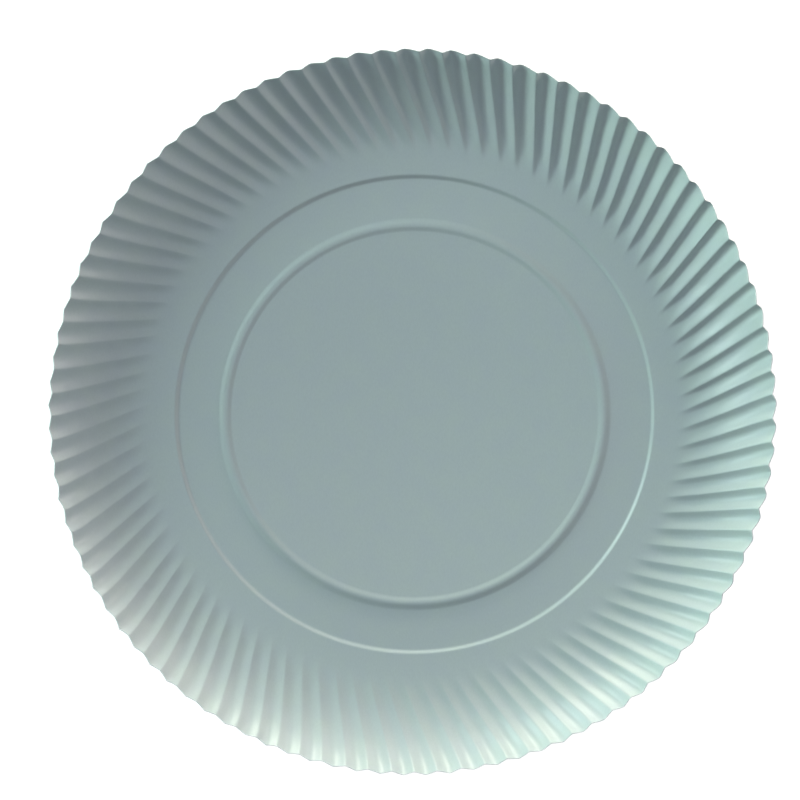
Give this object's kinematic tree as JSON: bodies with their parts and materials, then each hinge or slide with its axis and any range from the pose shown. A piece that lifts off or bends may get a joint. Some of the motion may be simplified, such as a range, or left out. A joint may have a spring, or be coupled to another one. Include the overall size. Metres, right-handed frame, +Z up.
{
  "type": "paper plate",
  "caption": "Round disposable paper plate pressed from one disc of board, with a raised ring, a flat foot band and a curved wall of slanting flutes.",
  "frame": {"origin": "on the plate's axis, in the plane of the table that its foot band stands on", "axes": "+Z up through the middle of the dish, towards the food; X and Y in the plane of the table"},
  "size_m": [0.23, 0.23, 0.0161],
  "materials": {
    "board": "uncoated off-white board, matt"
  },
  "bodies": {
    "root": {"plate": "board"}
  },
  "joints": []
}
